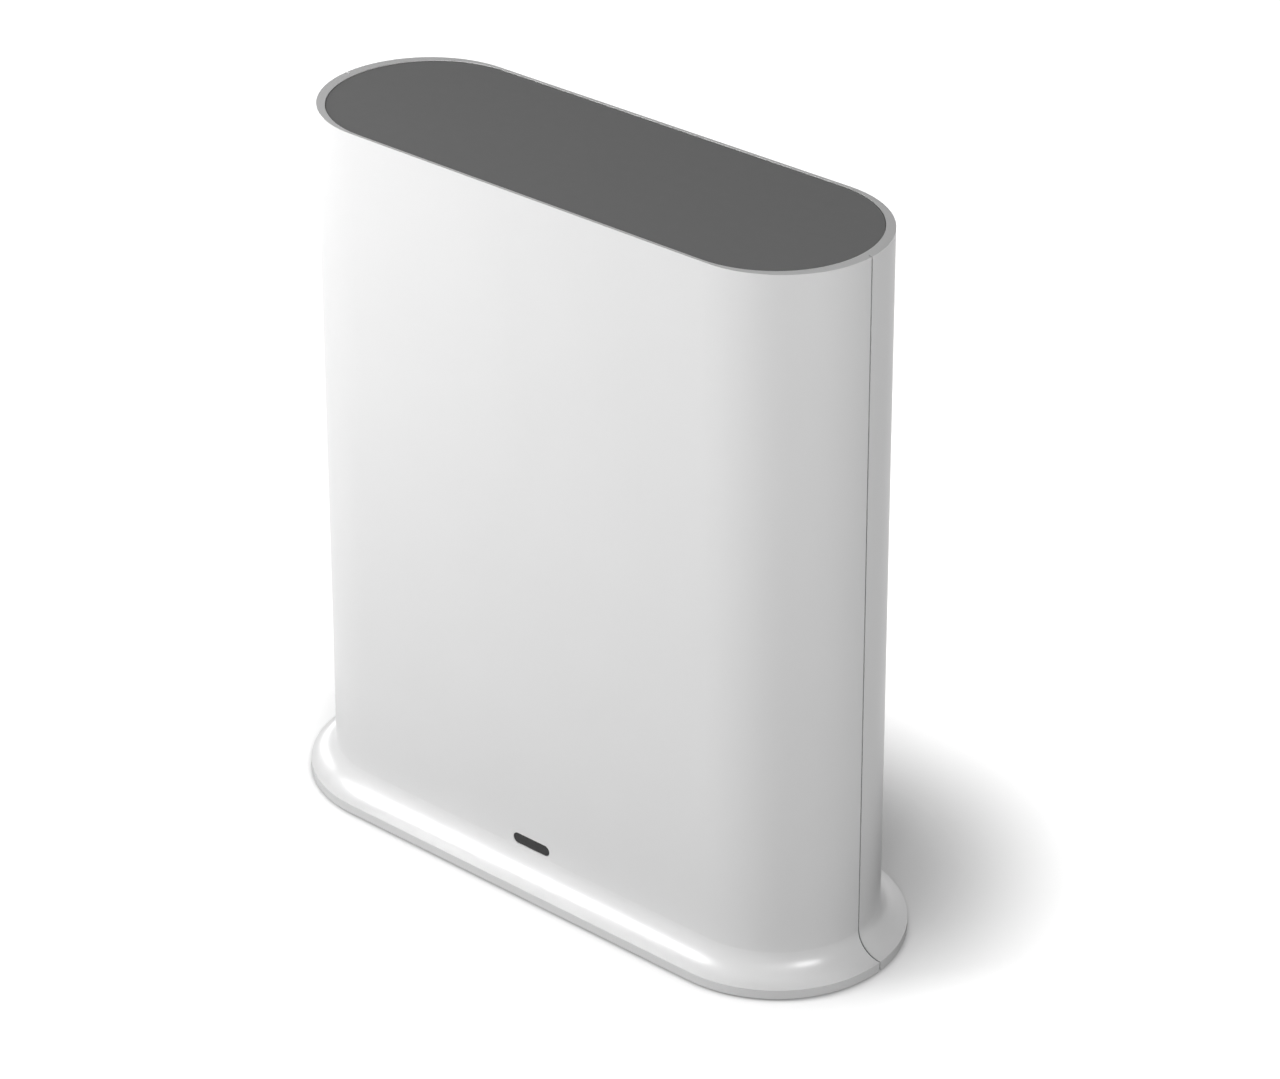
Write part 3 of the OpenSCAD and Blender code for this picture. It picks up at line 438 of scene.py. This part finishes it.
def painted_shadow_distance(tree):
    """How far a point of the floor lies from the line that its painted shadow follows, in metres."""
    moved = tree.nodes.new("ShaderNodeMapping")
    moved.inputs["Location"].default_value = (0, -SHADOW_SHIFT, 0)
    floor_place = tree.nodes.new("ShaderNodeTexCoord").outputs["Object"]
    tree.links.new(floor_place, moved.inputs["Vector"])
    place = moved.outputs["Vector"]
    split = tree.nodes.new("ShaderNodeSeparateXYZ")
    tree.links.new(place, split.inputs["Vector"])
    along = tree.nodes.new("ShaderNodeClamp")
    along.inputs["Min"].default_value = -SHADOW_SPINE
    along.inputs["Max"].default_value = SHADOW_SPINE
    tree.links.new(split.outputs["X"], along.inputs["Value"])
    nearest = tree.nodes.new("ShaderNodeCombineXYZ")
    tree.links.new(along.outputs["Result"], nearest.inputs["X"])
    reach = tree.nodes.new("ShaderNodeVectorMath")
    reach.operation = "DISTANCE"
    tree.links.new(place, reach.inputs[0])
    tree.links.new(nearest.outputs["Vector"], reach.inputs[1])
    return reach.outputs["Value"]


def floor_material():
    """Pale floor that takes the lamps' real shadow, has more shadow painted into its glow round the
    foot, and is lifted to white further out.
    """
    material = bpy.data.materials.new("floor")
    material.use_nodes = True
    tree = material.node_tree
    tree.nodes.remove(tree.nodes["Principled BSDF"])
    straight = tree.nodes.new("ShaderNodeLightPath").outputs["Is Camera Ray"]
    diffuse = tree.nodes.new("ShaderNodeBsdfDiffuse")
    shade = scaled(tree, straight, FLOOR_BOUNCE, FLOOR_SEEN)
    tree.links.new(shade, diffuse.inputs["Color"])
    # Painted shadow: the floor's glow is held back near a line behind the hub
    painted_shadow_profile = tree.nodes.new("ShaderNodeMapRange")
    painted_shadow_profile.interpolation_type = "SMOOTHSTEP"
    painted_shadow_profile.inputs["From Min"].default_value = SHADOW_CORE
    painted_shadow_profile.inputs["From Max"].default_value = SHADOW_REACH
    tree.links.new(painted_shadow_distance(tree), painted_shadow_profile.inputs["Value"])
    # Painted contact shadow: the glow also dims where the foot stands close to the floor
    contact = tree.nodes.new("ShaderNodeAmbientOcclusion")
    contact.inputs["Distance"].default_value = CONTACT_REACH
    lit = combined(tree, "MULTIPLY", contact.outputs["AO"], painted_shadow_profile.outputs["Result"])
    glow = tree.nodes.new("ShaderNodeEmission")
    level = combined(tree, "MULTIPLY", seen_factor(tree), lit)
    tree.links.new(level, glow.inputs["Strength"])
    both = tree.nodes.new("ShaderNodeAddShader")
    tree.links.new(diffuse.outputs[0], both.inputs[0])
    tree.links.new(glow.outputs[0], both.inputs[1])
    tree.links.new(both.outputs[0], tree.nodes["Material Output"].inputs["Surface"])
    return material


def make_floor():
    """Round floor that the hub stands on."""
    mesh = bpy.data.meshes.new("floor")
    turn = 2 * math.pi / FLOOR_SIDES
    rim = [
        (FLOOR_RADIUS * math.cos(i * turn), FLOOR_RADIUS * math.sin(i * turn), 0)
        for i in range(FLOOR_SIDES)
    ]
    mesh.from_pydata(rim, [], [range(FLOOR_SIDES)])
    floor = bpy.data.objects.new("floor", mesh)
    bpy.context.scene.collection.objects.link(floor)
    mesh.materials.append(floor_material())


def make_softbox(name, place, width, height, watts):
    """Soft rectangular lamp that faces the middle of the hub, and doesn't show in gloss."""
    light = bpy.data.lights.new(name, "AREA")
    light.shape = "RECTANGLE"
    light.size = width
    light.size_y = height
    light.energy = watts
    lamp = bpy.data.objects.new(name, light)
    bpy.context.scene.collection.objects.link(lamp)
    lamp.visible_camera = False
    lamp.visible_glossy = False
    lamp.location = place
    towards = (cad_low + cad_high) / 2 - lamp.location
    lamp.rotation_euler = towards.to_track_quat("-Z", "Y").to_euler()
    return lamp


def make_shine_box(name, place, width, height, watts):
    """The same kind of lamp, which only shows in the gloss of a few nodes."""
    lamp = make_softbox(name, place, width, height, watts)
    lamp.visible_diffuse = False
    lamp.visible_glossy = True
    reached = bpy.data.collections.new(name + "_reaches")
    for node in SHINE_NODES:
        reached.objects.link(nodes[node])
    lamp.light_linking.receiver_collection = reached


def make_camera():
    """Camera at the photograph's place and angle."""
    data = bpy.data.cameras.new("camera")
    data.sensor_width = SENSOR_WIDTH
    data.lens = CAMERA_LENS
    camera = bpy.data.objects.new("camera", data)
    bpy.context.scene.collection.objects.link(camera)
    turn = Matrix.Rotation(math.radians(CAMERA_YAW), 3, "Z")
    tilt = Matrix.Rotation(math.radians(QUARTER_TURN - CAMERA_PITCH), 3, "X")
    roll = Matrix.Rotation(math.radians(CAMERA_ROLL), 3, "Z")
    camera.location = CAMERA_PLACE
    camera.rotation_euler = (turn @ tilt @ roll).to_euler()
    bpy.context.scene.camera = camera


dress_nodes()
make_world()
make_floor()
for box in SOFTBOXES:
    make_softbox(*box)
for box in SHINE_BOXES:
    make_shine_box(*box)
make_camera()
bpy.context.scene.view_settings.view_transform = "Standard"
